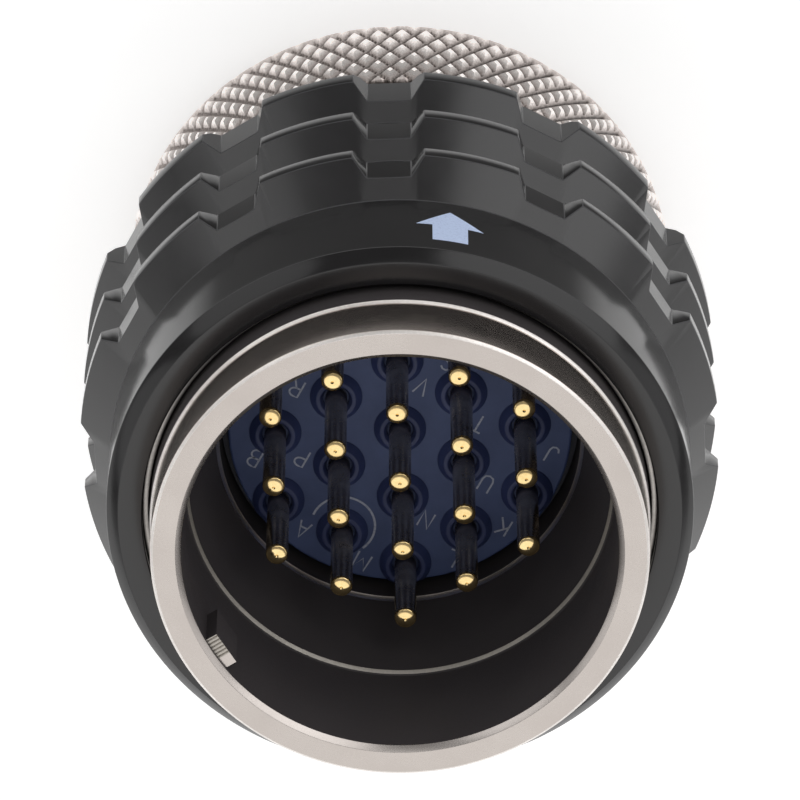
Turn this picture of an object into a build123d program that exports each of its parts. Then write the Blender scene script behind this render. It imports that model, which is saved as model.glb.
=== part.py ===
from build123d import *
import math
import os

# Round multi-pin connector with a sliding coupling ring and a knurled cable clamp nut.
# Millimetres. The axis is +Z, the rear (cable) end stands on z = 0 and the pins look up.

# Contact layout and contacts
column_pitch = 2.86
row_pitch = 3.48
outer_letters = "mabcdefghjkl"
inner_letters = "nprstu"
centre_letter = "v"
pin_radius = 0.51
pin_setback = 7.0
pin_tip_length = 0.4
pin_tip_radius = 0.2
pin_bulge_drop = 0.0883
pin_bulge_depth = 0.1333
pin_shank_shoulder = 0.19
pin_tail_radius = 0.6
pin_tail_length = 1.2
contact_hole_clearance = 0.04

# Insert stack behind the pins
seal_depth = 12.6
seal_margin = 0.94
seal_thickness = 1.0
boss_base_radius = 1.2
boss_top_radius = 0.87
boss_height = 0.45
boss_hole_clearance = 0.08
insert_clearance = 0.05
front_insulator_length = 4.8
flange_width = 0.68
flange_thickness = 1.0
rear_insulator_length = 2.0
retainer_thickness = 1.4
retainer_slot_count = 4
retainer_slot_width = 1.2
retainer_slot_depth = 0.5
grommet_clearance = 0.3
grommet_thickness = 1.7

# Front shell, inside
seal_gap = 0.37
cavity_depth = 11.55
cavity_chamfer = 0.16
bore_step = 1.48
shoulder_depth = 6.85
shoulder_chamfer = 0.2
mouth_chamfer = 0.25

# Key on the wall of the bore
key_width = 1.65
key_height = 0.58
key_setback = 0.4
key_length = 2.4
key_angle = 30.0

# Front shell, outside, as steps outwards from the rear bore
gland_shoulder = 0.25
thread_wall = 0.95
waist_step = 0.4
guide_step = 0.62
barrel_step = 0.10
barrel_step_length = 0.6
barrel_nose_length = 2.5
barrel_projection = 3.7
rim_edge_chamfer = 0.12

# Coupling ring, inside, as steps outwards from the guide
slide_clearance = 0.06
sleeve_wall = 0.29
sleeve_setback = 0.65
sleeve_length = 5.0
spring_ledge_thickness = 1.0
spring_bay_step = 0.88
ring_wall = 0.75
collar_seat_step = 0.45
collar_length = 0.8
collar_clearance = 0.3

# Coupling ring, outside
ring_front_chamfer = 0.54
arrow_section_length = 4.86
land_count = 3
land_pitch = 4.15
land_height = 1.4
land_width = 0.8
land_cone_angle = 37.875
heel_chamfer = 0.3
front_face_dish = 0.06

# Grip slots across the lands
slot_count = 12
slot_floor_width = 2.0
slot_depth = 0.71
slot_wall_angle = 45.0

# Travel of the coupling ring and the parts that spring it
release_travel = 2.4
travel_margin = 0.38
spring_wire_height = 0.45
spring_wire_width = 0.8
spring_turns = 5.0
spring_shell_clearance = 0.45
spring_seat_thickness = 0.6
spring_seat_margin = 0.35
snap_ring_thickness = 0.8
snap_ring_height = 1.2
snap_ring_gap_angle = 30.0
snap_groove_depth = 0.4
stop_clearance = 0.05

# Cable gland
gland_thickness = 2.6
gland_hole_radius = 3.6
gland_clearance = 0.15
gland_lip = 0.3
gland_washer_thickness = 0.7
gland_washer_relief = 1.4
thrust_washer_thickness = 0.7
thrust_washer_relief = 2.0
thrust_washer_clearance = 0.25
end_play = 0.05

# Clamp nut, with plain cylinders in place of its thread
thread_clearance = 0.08
thread_runout = 0.4
nut_wall = 2.67
nut_knurl_length = 6.02
knurl_pitch = 1.13
knurl_row_height = 0.86
knurl_depth = 0.42
knurl_end_drop = 0.15
nut_collar_length = 1.9
nut_collar_wall = 0.92
nut_collar_chamfer = 0.5
nut_end_wall = 1.5
cable_entry_relief = 1.6
cable_entry_chamfer = 0.5

# Distance that a cutting shape reaches past the material
overcut = 1.0

# Radii, from the contacts outwards
outer_contact_reach = max(2 * row_pitch, math.hypot(2 * column_pitch, row_pitch))
pin_shank_radius = pin_radius + pin_shank_shoulder
seal_radius = outer_contact_reach + seal_margin
cavity_radius = seal_radius + seal_gap
bore_radius = cavity_radius + bore_step
flange_radius = cavity_radius + flange_width
retainer_bore_radius = flange_radius + insert_clearance
grommet_radius = retainer_bore_radius - grommet_clearance
gland_bore_radius = retainer_bore_radius + gland_shoulder
thread_radius = gland_bore_radius + thread_wall
shell_waist_radius = thread_radius + waist_step
guide_radius = shell_waist_radius + guide_step
rim_radius = guide_radius - barrel_step
sleeve_bore_radius = guide_radius + slide_clearance
ring_bore_radius = sleeve_bore_radius + sleeve_wall
spring_bay_radius = ring_bore_radius + spring_bay_step
collar_seat_radius = spring_bay_radius + collar_seat_step
ring_nose_radius = spring_bay_radius + ring_wall
land_radius = ring_nose_radius + land_height
nut_bore_radius = thread_radius + thread_clearance
nut_crest_radius = nut_bore_radius + nut_wall
nut_collar_radius = nut_bore_radius + nut_collar_wall
gland_washer_hole = gland_hole_radius + gland_washer_relief
thrust_washer_hole = gland_hole_radius + thrust_washer_relief
cable_entry_radius = gland_hole_radius + cable_entry_relief

# Heights along the axis, from the rear end up
knurl_top = nut_collar_length + nut_knurl_length
ring_heel = knurl_top + release_travel + travel_margin
cone_length = land_height / math.tan(math.radians(land_cone_angle))
lands_length = (land_count - 1) * land_pitch + land_width + cone_length
ring_length = heel_chamfer + lands_length + arrow_section_length + ring_front_chamfer
ring_front = ring_heel + ring_length
rim = ring_front + barrel_projection
sleeve_front = ring_front - sleeve_setback
sleeve_rear = sleeve_front - sleeve_length
ledge_rear = sleeve_rear - spring_ledge_thickness
collar_top = ring_heel + collar_length
snap_ring_rear = collar_top + stop_clearance
snap_ring_front = snap_ring_rear + snap_ring_thickness
spring_seat_front = snap_ring_front + spring_seat_thickness
seal_face = rim - seal_depth
insulator_front = seal_face - seal_thickness
insulator_joint = insulator_front - front_insulator_length
flange_front = insulator_joint + flange_thickness
insulator_rear = insulator_joint - rear_insulator_length
grommet_rear = insulator_rear - grommet_thickness
washer_rear = nut_end_wall + end_play
washer_front = washer_rear + thrust_washer_thickness
gland_rear = washer_front + end_play
gland_front = gland_rear + gland_thickness
gland_seat = gland_front + gland_washer_thickness
shell_rear = washer_front + gland_lip


def turned(*outline):
    """Revolve a closed outline of (radius, height) points about the axis."""
    return revolve(Plane.XZ * make_face(Polyline(*outline, close=True)), Axis.Z)


def washer(inner_radius, outer_radius, bottom, top):
    """Return a flat ring between two heights."""
    return turned(
        (inner_radius, bottom),
        (outer_radius, bottom),
        (outer_radius, top),
        (inner_radius, top),
    )


def rod(radius, bottom, top):
    """Return a round bar on the axis between two heights."""
    seat = (Align.CENTER, Align.CENTER, Align.MIN)
    return Pos(0, 0, bottom) * Cylinder(radius, top - bottom, align=seat)


def hexagon_walk(steps_out):
    """List the lattice places around a hexagon, as (columns, rows) from the centre."""
    column, row = 0.0, float(steps_out)
    places = []
    for column_step, row_step in ((1, -0.5), (0, -1), (-1, -0.5), (-1, 0.5), (0, 1), (1, 0.5)):
        for _ in range(steps_out):
            places.append((column, row))
            column += column_step
            row += row_step
    return places


def contact_places():
    """Map each contact letter to its (x, y) place."""
    letters = outer_letters + inner_letters + centre_letter
    lattice = hexagon_walk(2) + hexagon_walk(1) + [(0.0, 0.0)]
    return {
        letter: (column * column_pitch, row * row_pitch)
        for letter, (column, row) in zip(letters, lattice)
    }


def at_contacts(shape):
    """Repeat a shape at every contact place."""
    return [Pos(x, y, 0) * shape for x, y in contact_places().values()]


def front_shell():
    """Turned shell: barrel, guide for the coupling ring, waist, snap groove and rear thread."""
    shoulder_low = rim - shoulder_depth - shoulder_chamfer / 2
    cavity_edge = rim - cavity_depth
    thread_top = knurl_top + thread_runout
    body = turned(
        (bore_radius + mouth_chamfer, rim),
        (rim_radius - rim_edge_chamfer, rim),
        (rim_radius, rim - rim_edge_chamfer),
        (rim_radius, rim - barrel_nose_length),
        (guide_radius, rim - barrel_nose_length - barrel_step_length),
        (guide_radius, sleeve_rear),
        (shell_waist_radius, sleeve_rear),
        (shell_waist_radius, snap_ring_front),
        (shell_waist_radius - snap_groove_depth, snap_ring_front),
        (shell_waist_radius - snap_groove_depth, snap_ring_rear),
        (shell_waist_radius, snap_ring_rear),
        (shell_waist_radius, thread_top),
        (thread_radius, thread_top),
        (thread_radius, shell_rear),
        (gland_bore_radius, shell_rear),
        (gland_bore_radius, gland_seat),
        (retainer_bore_radius, gland_seat),
        (retainer_bore_radius, flange_front),
        (cavity_radius, flange_front),
        (cavity_radius, cavity_edge - cavity_chamfer),
        (cavity_radius + cavity_chamfer, cavity_edge),
        (bore_radius - shoulder_chamfer, shoulder_low),
        (bore_radius, shoulder_low + shoulder_chamfer),
        (bore_radius, rim - mouth_chamfer),
    )
    key = Pos(bore_radius - key_height, 0, rim - key_setback) * Box(
        2 * key_height,
        key_width,
        key_length,
        align=(Align.MIN, Align.CENTER, Align.MAX),
    )
    return body + Rot(0, 0, key_angle) * key


def ring_outline():
    """Outer outline of the coupling ring from its heel to its front face."""
    outline = [(land_radius - heel_chamfer, ring_heel)]
    for land in range(land_count):
        rear_corner = ring_heel + heel_chamfer + land * land_pitch
        front_corner = rear_corner + land_width
        if land > 0:
            outline.append((ring_nose_radius, rear_corner))
        outline.append((land_radius, rear_corner))
        outline.append((land_radius, front_corner))
        outline.append((ring_nose_radius, front_corner + cone_length))
    outline.append((ring_nose_radius, ring_front - ring_front_chamfer))
    outline.append((ring_nose_radius - ring_front_chamfer, ring_front))
    return outline


def grip_slot():
    """Cutter for one slot that runs through every land, with sloping side walls."""
    floor_radius = land_radius - slot_depth
    mouth_radius = land_radius + overcut
    spread = (mouth_radius - floor_radius) * math.tan(math.radians(slot_wall_angle))
    half_floor = slot_floor_width / 2
    section = Polyline(
        (-half_floor, -floor_radius),
        (half_floor, -floor_radius),
        (half_floor + spread, -mouth_radius),
        (-half_floor - spread, -mouth_radius),
        close=True,
    )
    return Pos(0, 0, ring_heel - overcut) * extrude(make_face(section), ring_length)


def coupling_ring():
    """Sliding outer ring with three slotted lands and a stepped bore."""
    body = turned(
        *ring_outline(),
        (ring_bore_radius, ring_front - front_face_dish),
        (ring_bore_radius, sleeve_rear),
        (sleeve_bore_radius, sleeve_rear),
        (sleeve_bore_radius, ledge_rear),
        (spring_bay_radius, ledge_rear),
        (spring_bay_radius, collar_top),
        (collar_seat_radius, collar_top),
        (collar_seat_radius, ring_heel),
    )
    slots = [Rot(0, 0, turn * 360 / slot_count) * grip_slot() for turn in range(slot_count)]
    return body - slots


def coupling_spring():
    """Flat-wire compression spring between the ring's ledge and its seat."""
    inner_radius = shell_waist_radius + spring_shell_clearance
    mean_radius = inner_radius + spring_wire_width / 2
    first = spring_seat_front + spring_wire_height / 2
    last = ledge_rear - spring_wire_height / 2
    pitch = (last - first) / spring_turns
    path = Pos(0, 0, first) * Helix(pitch, last - first, mean_radius)
    section = Plane(origin=path @ 0, x_dir=(1, 0, 0), z_dir=(0, 1, 0)) * Rectangle(
        spring_wire_width,
        spring_wire_height,
    )
    return sweep(section, path, is_frenet=True)


def snap_ring():
    """Open ring that sits in the groove of the shell's waist."""
    outer_radius = shell_waist_radius + snap_ring_height
    ring = washer(shell_waist_radius - snap_groove_depth, outer_radius, snap_ring_rear, snap_ring_front)
    half_gap = math.radians(snap_ring_gap_angle / 2)
    reach = 2 * outer_radius
    opening = Polyline(
        (0, 0),
        (reach * math.sin(half_gap), reach * math.cos(half_gap)),
        (-reach * math.sin(half_gap), reach * math.cos(half_gap)),
        close=True,
    )
    cutter = extrude(make_face(opening), snap_ring_thickness + 2 * overcut)
    return ring - Pos(0, 0, snap_ring_rear - overcut) * cutter


def face_seal():
    """Soft face disc with a raised boss around each contact."""
    disc = rod(seal_radius, insulator_front, seal_face)
    boss = turned(
        (0, seal_face - seal_thickness / 2),
        (boss_base_radius, seal_face - seal_thickness / 2),
        (boss_base_radius, seal_face),
        (boss_top_radius, seal_face + boss_height),
        (0, seal_face + boss_height),
    )
    hole = rod(pin_radius + boss_hole_clearance, insulator_front - overcut, seal_face + overcut)
    trim = rod(seal_radius, insulator_front, seal_face + overcut)
    return ((disc + at_contacts(boss)) & trim) - at_contacts(hole)


def front_insulator():
    """Hard disc that carries the contacts, with the flange that holds the insert."""
    outer = cavity_radius - insert_clearance
    body = turned(
        (0, insulator_joint),
        (flange_radius, insulator_joint),
        (flange_radius, flange_front),
        (outer, flange_front),
        (outer, insulator_front),
        (0, insulator_front),
    )
    hole = rod(pin_radius + contact_hole_clearance, insulator_joint - overcut, insulator_front + overcut)
    return body - at_contacts(hole)


def rear_insulator():
    """Hard disc that holds the shoulders of the contacts."""
    outer = cavity_radius - insert_clearance
    hole_radius = pin_shank_radius + contact_hole_clearance
    hole = rod(hole_radius, insulator_rear - overcut, insulator_joint + overcut)
    return rod(outer, insulator_rear, insulator_joint) - at_contacts(hole)


def insert_retainer():
    """Slotted ring that holds the flange of the insert in the shell."""
    inner_radius = cavity_radius
    rear = insulator_joint - retainer_thickness
    ring = washer(inner_radius, flange_radius, rear, insulator_joint)
    slot = Pos(inner_radius - overcut, 0, rear) * Box(
        2 * overcut + flange_radius - inner_radius,
        retainer_slot_width,
        2 * retainer_slot_depth,
        align=(Align.MIN, Align.CENTER, Align.CENTER),
    )
    turns = [turn * 360 / retainer_slot_count for turn in range(retainer_slot_count)]
    return ring - [Rot(0, 0, angle) * slot for angle in turns]


def wire_grommet():
    """Soft rear disc around the contact tails."""
    hole = rod(pin_tail_radius + contact_hole_clearance, grommet_rear - overcut, insulator_rear + overcut)
    return rod(grommet_radius, grommet_rear, insulator_rear) - at_contacts(hole)


def contact_pin():
    """Turned contact: rounded pin, shouldered shank and wire tail."""
    tip = rim - pin_setback
    shoulder = tip - pin_tip_length
    nose = Polyline(
        (0, grommet_rear - pin_tail_length),
        (pin_tail_radius, grommet_rear - pin_tail_length),
        (pin_tail_radius, insulator_rear),
        (pin_shank_radius, insulator_rear),
        (pin_shank_radius, insulator_joint),
        (pin_radius, insulator_joint),
        (pin_radius, shoulder),
    )
    bend = ThreePointArc(
        (pin_radius, shoulder),
        (pin_radius - pin_bulge_drop, tip - pin_bulge_depth),
        (pin_tip_radius, tip),
    )
    close = Polyline((pin_tip_radius, tip), (0, tip), (0, grommet_rear - pin_tail_length))
    return revolve(Plane.XZ * make_face([nose, bend, close]), Axis.Z)


def gland_seal():
    """Soft cable gland inside the rear of the shell."""
    return washer(gland_hole_radius, gland_bore_radius - gland_clearance, gland_rear, gland_front)


def knurl_point(column, row, columns, rows):
    """Return one corner of the diamond knurl."""
    radius = nut_crest_radius
    if (column + row) % 2:
        radius -= knurl_depth
    if row in (0, rows):
        radius -= knurl_end_drop
    angle = 2 * math.pi * column / columns
    height = nut_collar_length + nut_knurl_length * row / rows
    return (radius * math.cos(angle), radius * math.sin(angle), height)


def knurled_drum():
    """Solid drum whose side is a field of diamond points."""
    columns = 2 * round(2 * math.pi * nut_crest_radius / knurl_pitch)
    rows = round(nut_knurl_length / knurl_row_height)
    grid = []
    for row in range(rows + 1):
        grid.append([knurl_point(column, row, columns, rows) for column in range(columns)])
    faces = [Face(Wire.make_polygon(grid[0])), Face(Wire.make_polygon(grid[rows]))]
    for row in range(rows):
        for column in range(columns):
            low_left = grid[row][column]
            low_right = grid[row][(column + 1) % columns]
            high_left = grid[row + 1][column]
            high_right = grid[row + 1][(column + 1) % columns]
            if (column + row) % 2:
                halves = ((low_left, low_right, high_right), (low_left, high_right, high_left))
            else:
                halves = ((low_left, low_right, high_left), (low_right, high_right, high_left))
            faces += [Face(Wire.make_polygon(corners)) for corners in halves]
    return Solid(Shell(faces))


def clamp_nut():
    """Knurled nut with a plain rear collar and the cable entry."""
    collar = turned(
        (cable_entry_radius + cable_entry_chamfer, 0),
        (nut_collar_radius - nut_collar_chamfer, 0),
        (nut_collar_radius, nut_collar_chamfer),
        (nut_collar_radius, nut_collar_length),
        (nut_bore_radius, nut_collar_length),
        (nut_bore_radius, nut_end_wall),
        (cable_entry_radius, nut_end_wall),
        (cable_entry_radius, cable_entry_chamfer),
    )
    bore = rod(nut_bore_radius, nut_collar_length - overcut, knurl_top + overcut)
    return knurled_drum() - bore + collar


def make_parts():
    """Build every piece, by node name."""
    pieces = {
        "front_shell": front_shell(),
        "coupling_ring": coupling_ring(),
        "guide_sleeve": washer(sleeve_bore_radius, ring_bore_radius, sleeve_rear, sleeve_front),
        "ring_end_collar": washer(
            shell_waist_radius + collar_clearance,
            collar_seat_radius,
            ring_heel,
            collar_top,
        ),
        "coupling_spring": coupling_spring(),
        "spring_seat": washer(
            shell_waist_radius + end_play,
            spring_bay_radius - spring_seat_margin,
            snap_ring_front,
            spring_seat_front,
        ),
        "snap_ring": snap_ring(),
        "face_seal": face_seal(),
        "front_insulator": front_insulator(),
        "rear_insulator": rear_insulator(),
        "insert_retainer": insert_retainer(),
        "wire_grommet": wire_grommet(),
        "gland_washer": washer(gland_washer_hole, gland_bore_radius - end_play, gland_front, gland_seat),
        "gland_seal": gland_seal(),
        "thrust_washer": washer(
            thrust_washer_hole,
            thread_radius - thrust_washer_clearance,
            washer_rear,
            washer_front,
        ),
        "clamp_nut": clamp_nut(),
    }
    for letter, (x, y) in contact_places().items():
        pieces[f"contact_pin_{letter}"] = Pos(x, y, 0) * contact_pin()
    return pieces


os.makedirs("parts", exist_ok=True)
for name, piece in make_parts().items():
    export_step(piece, f"parts/{name}.step")
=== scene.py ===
import logging
import math
from dataclasses import dataclass
from enum import Enum, IntEnum
from typing import Iterable, Sequence

import bmesh
import bpy
from mathutils import Matrix, Vector


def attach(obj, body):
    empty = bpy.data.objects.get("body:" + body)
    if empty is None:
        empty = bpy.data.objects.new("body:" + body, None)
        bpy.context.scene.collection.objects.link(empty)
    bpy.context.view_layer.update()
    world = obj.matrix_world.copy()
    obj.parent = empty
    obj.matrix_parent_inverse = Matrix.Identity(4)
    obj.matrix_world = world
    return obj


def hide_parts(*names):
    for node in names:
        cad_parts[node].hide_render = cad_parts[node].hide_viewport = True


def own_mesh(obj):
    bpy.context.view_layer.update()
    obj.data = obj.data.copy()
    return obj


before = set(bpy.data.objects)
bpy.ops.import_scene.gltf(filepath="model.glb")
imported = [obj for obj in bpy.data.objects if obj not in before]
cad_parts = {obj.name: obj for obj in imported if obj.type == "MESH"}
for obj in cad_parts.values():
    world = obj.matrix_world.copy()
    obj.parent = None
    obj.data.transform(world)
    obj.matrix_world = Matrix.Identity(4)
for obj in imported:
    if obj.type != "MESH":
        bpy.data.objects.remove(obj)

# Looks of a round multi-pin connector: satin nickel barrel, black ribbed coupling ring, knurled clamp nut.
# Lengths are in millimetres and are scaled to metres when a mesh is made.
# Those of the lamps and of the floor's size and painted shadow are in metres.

logger = logging.getLogger("connector")

BMesh = bmesh.types.BMesh
Loop = list[bmesh.types.BMVert]
Material = bpy.types.Material
Piece = bpy.types.Object
Socket = bpy.types.NodeSocket
Colour = tuple[float, float, float]
Value = Socket | float | Colour
Point = tuple[float, float]
Span = tuple[float, float]
FULL: Span = (0.0, 1.0)
FALL: Span = (1.0, 0.0)

MM = 0.001
FULL_TURN = 2 * math.pi
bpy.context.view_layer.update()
LAMP_TARGET = (0.0, 0.0, 0.02)

# Heights along the axis
RIM = 31.0
GUIDE_EDGE = 28.12
RING_FRONT = 27.3
SLEEVE_FRONT = 26.65
SLEEVE_REAR = 21.65
LEDGE_REAR = 20.65
SEAL_FACE = 18.4
INSULATOR_FRONT = 17.4
FLANGE_FRONT = 13.6
SPRING_SEAT_FRONT = 12.95
SNAP_RING_FRONT = 12.35
SNAP_RING_REAR = 11.55
COLLAR_TOP = 11.5
RING_HEEL = 10.7
INSULATOR_JOINT = 12.6
INSULATOR_REAR = 10.6
THREAD_TOP = 8.32
KNURL_TOP = 7.92
GLAND_SEAT = 5.6
SHELL_REAR = 2.55
NUT_COLLAR_TOP = 1.9
NUT_END_WALL = 1.5

# Radii
RIM_RADIUS = 11.12
GUIDE_RADIUS = 11.22
BORE_RADIUS = 9.75
CAVITY_RADIUS = 8.27
SEAL_RADIUS = 7.9
WAIST_RADIUS = 10.6
GROOVE_RADIUS = 10.2
THREAD_RADIUS = 10.2
GLAND_BORE_RADIUS = 9.25
RETAINER_BORE_RADIUS = 9.0
SLEEVE_BORE_RADIUS = 11.28
RING_BORE_RADIUS = 11.57
SPRING_BAY_RADIUS = 12.45
COLLAR_SEAT_RADIUS = 12.9
NOSE_RADIUS = 13.2
LAND_RADIUS = 14.6
NUT_BORE_RADIUS = 10.28
NUT_CREST_RADIUS = 12.95
NUT_COLLAR_RADIUS = 11.2
CABLE_ENTRY_RADIUS = 5.2

# Lands and grip slots of the coupling ring
LAND_COUNT = 3
LAND_PITCH = 4.15
LAND_WIDTH = 0.8
LAND_CONE_LENGTH = 1.8
HEEL_CHAMFER = 0.3
NOSE_CHAMFER = 0.54
SLOT_COUNT = 12
SLOT_FLOOR_WIDTH = 2.0
SLOT_DEPTH = 0.71

# Contact field
COLUMN_PITCH = 2.86
ROW_PITCH = 3.48
OUTER_LETTERS = "mabcdefghjkl"
INNER_LETTERS = "nprstu"
CENTRE_LETTER = "v"
PIN_RADIUS = 0.51
PIN_TIP = 24.0


class Body(str, Enum):
    """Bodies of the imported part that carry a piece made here."""

    SHELL = "shell"
    COUPLING = "coupling"
    CLAMP = "clamp"


class Slot(str, Enum):
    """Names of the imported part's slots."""

    NICKEL = "nickel_plate"
    BLACK = "black_anodise"
    STEEL = "bright_steel"
    SPRING = "spring_steel"
    SEAL = "blue_seal"
    GOLD = "gold_plate"


class Graph:
    """Node tree that is filled by plain calls."""

    def __init__(self, tree: bpy.types.NodeTree) -> None:
        """Take a tree to fill.

        Args:
            tree: Node tree of a material or of the sky.
        """
        self.tree = tree

    def node(self, kind: str, **settings: str) -> bpy.types.Node:
        """Add a node and set its properties.

        Args:
            kind: Type name of the node.
            settings: Properties of the node.

        Returns:
            The new node.
        """
        made = self.tree.nodes.new(kind)
        for name, value in settings.items():
            setattr(made, name, value)
        return made

    def feed(self, socket: Socket, value: Value) -> None:
        """Link an output to a socket, or set a constant on it.

        Args:
            socket: Input to feed.
            value: Output socket or constant.
        """
        if isinstance(value, Socket):
            self.tree.links.new(value, socket)
        elif isinstance(value, tuple) and socket.type == "RGBA":
            socket.default_value = (*value, 1.0)
        else:
            socket.default_value = value

    def math(self, operation: str, first: Value, second: Value = 0.0) -> Socket:
        """Join two values by a math operation.

        Args:
            operation: Name of the operation.
            first: First value or output.
            second: Second value or output.

        Returns:
            Output socket of the result.
        """
        made = self.node("ShaderNodeMath", operation=operation)
        self.feed(made.inputs[0], first)
        self.feed(made.inputs[1], second)
        return made.outputs[0]

    def times(self, *factors: Value) -> Socket:
        """Multiply two or more values.

        Args:
            factors: Values or outputs.

        Returns:
            Output socket of the product.
        """
        product, *others = factors
        for factor in others:
            product = self.math("MULTIPLY", product, factor)
        return product

    def parts(self, vector: Socket) -> list[Socket]:
        """Split a vector.

        Args:
            vector: Output to split.

        Returns:
            Output sockets of its three numbers.
        """
        made = self.node("ShaderNodeSeparateXYZ")
        self.feed(made.inputs[0], vector)
        return list(made.outputs)

    def length(self, first: Socket, second: Socket) -> Socket:
        """Give the distance that two steps at right angles span.

        Args:
            first: Step along one axis.
            second: Step along the other.

        Returns:
            Output socket of the distance.
        """
        square = self.math("ADD", self.times(first, first), self.times(second, second))
        return self.math("SQRT", square)

    def span(self, value: Value, given: Span, wanted: Span = FULL) -> Socket:
        """Map one range of a value to another, held at the ends.

        Args:
            value: Output to map.
            given: Lowest and highest value that count.
            wanted: Results at the lowest and at the highest.

        Returns:
            Output socket of the result.
        """
        made = self.node("ShaderNodeMapRange")
        for socket, number in zip(made.inputs[1:5], (*given, *wanted)):
            socket.default_value = number
        self.feed(made.inputs[0], value)
        return made.outputs[0]


class Surface(Graph):
    """Node tree of one procedural material."""

    def __init__(self, name: str) -> None:
        """Start a material with its shader and its coordinates.

        Args:
            name: Name of the material.
        """
        self.material = bpy.data.materials.new(name)
        self.material.use_nodes = True
        super().__init__(self.material.node_tree)
        self.shader = self.tree.nodes["Principled BSDF"]
        self.place = self.node("ShaderNodeTexCoord").outputs["Object"]

    def turned_place(self, around: float = 1.0) -> Socket:
        """Give coordinates of a turned surface: radius, height and a share of the angle.

        Args:
            around: How much the pattern changes round the axis, in metres for each radian.

        Returns:
            Output socket of the vector.
        """
        x, y, z = self.parts(self.place)
        angle = self.times(self.math("ARCTAN2", y, x), around * MM)
        joined = self.node("ShaderNodeCombineXYZ")
        for socket, value in zip(joined.inputs, (self.length(x, y), z, angle)):
            self.feed(socket, value)
        return joined.outputs[0]

    def noise(
        self, grain: float, detail: float = 3.0, vector: Socket | None = None, roughness: float = 0.55,
    ) -> Socket:
        """Give a noise pattern.

        Args:
            grain: Size of one grain in millimetres.
            detail: Levels of finer detail.
            vector: Coordinates, or None for the object's own.
            roughness: Share of the finer detail.

        Returns:
            Output socket from 0 to 1.
        """
        made = self.node("ShaderNodeTexNoise")
        self.feed(made.inputs["Vector"], vector or self.place)
        self.feed(made.inputs["Scale"], 1.0 / (grain * MM))
        self.feed(made.inputs["Detail"], detail)
        self.feed(made.inputs["Roughness"], roughness)
        return made.outputs["Fac"]

    def mix(self, factor: Value, first: Value, second: Value) -> Socket:
        """Blend two colours.

        Args:
            factor: Share of the second.
            first: Colour or output at 0.
            second: Colour or output at 1.

        Returns:
            Output socket of the colour.
        """
        made = self.node("ShaderNodeMix", data_type="RGBA")
        first_socket, second_socket = (socket for socket in made.inputs if socket.type == "RGBA")
        self.feed(made.inputs["Factor"], factor)
        self.feed(first_socket, first)
        self.feed(second_socket, second)
        return next(socket for socket in made.outputs if socket.type == "RGBA")

    def bump(self, height: Socket, depth: float, below: Socket | None = None) -> Socket:
        """Add a bump.

        Args:
            height: Output with the height from 0 to 1.
            depth: Depth of the bump in millimetres.
            below: Output of a bump that lies under this one.

        Returns:
            Output socket of the normal.
        """
        made = self.node("ShaderNodeBump")
        self.feed(made.inputs["Distance"], depth * MM)
        self.feed(made.inputs["Height"], height)
        if below is not None:
            self.feed(made.inputs["Normal"], below)
        return made.outputs["Normal"]

    def finish(
        self, colour: Value, roughness: Value, normal: Socket | None = None, **constants: Value,
    ) -> Material:
        """Connect the shader.

        Args:
            colour: Base colour or output.
            roughness: Roughness or output.
            normal: Output of the bumps.
            constants: Further inputs of the shader by name, with underscores for spaces.

        Returns:
            The finished material.
        """
        self.feed(self.shader.inputs["Base Color"], colour)
        self.feed(self.shader.inputs["Roughness"], roughness)
        if normal is not None:
            self.feed(self.shader.inputs["Normal"], normal)
        for name, value in constants.items():
            self.feed(self.shader.inputs[name.replace("_", " ")], value)
        return self.material


@dataclass(frozen=True)
class MetalFinish:
    """Bare or plated metal with turned grain, fine pits and soft stains."""

    name: str
    light: Colour
    dark: Colour
    roughness: Span
    turned_grain: float = 0.05
    turned_depth: float = 0.0
    pit_grain: float = 0.12
    pit_depth: float = 0.002
    stain_grain: float = 3.0
    stain_share: float = 0.6
    tone_span: Span = (0.35, 0.65)
    wear_span: Span = (0.3, 0.7)

    def build(self) -> Material:
        """Make the material.

        Returns:
            The finished material.
        """
        graph = Surface(self.name)
        stain = graph.noise(self.stain_grain, 4.0)
        speckle = graph.noise(self.pit_grain, 2.0)
        stain_part = graph.times(stain, self.stain_share)
        tone = graph.math("ADD", stain_part, graph.times(speckle, 1 - self.stain_share))
        colour = graph.mix(graph.span(tone, self.tone_span), self.dark, self.light)
        roughness = graph.span(tone, self.wear_span, self.roughness[::-1])
        normal = graph.bump(speckle, self.pit_depth)
        if self.turned_depth > 0:
            lines = graph.noise(self.turned_grain, 2.0, graph.turned_place())
            normal = graph.bump(lines, self.turned_depth, below=normal)
        return graph.finish(colour, roughness, normal, Metallic=1.0)


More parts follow.
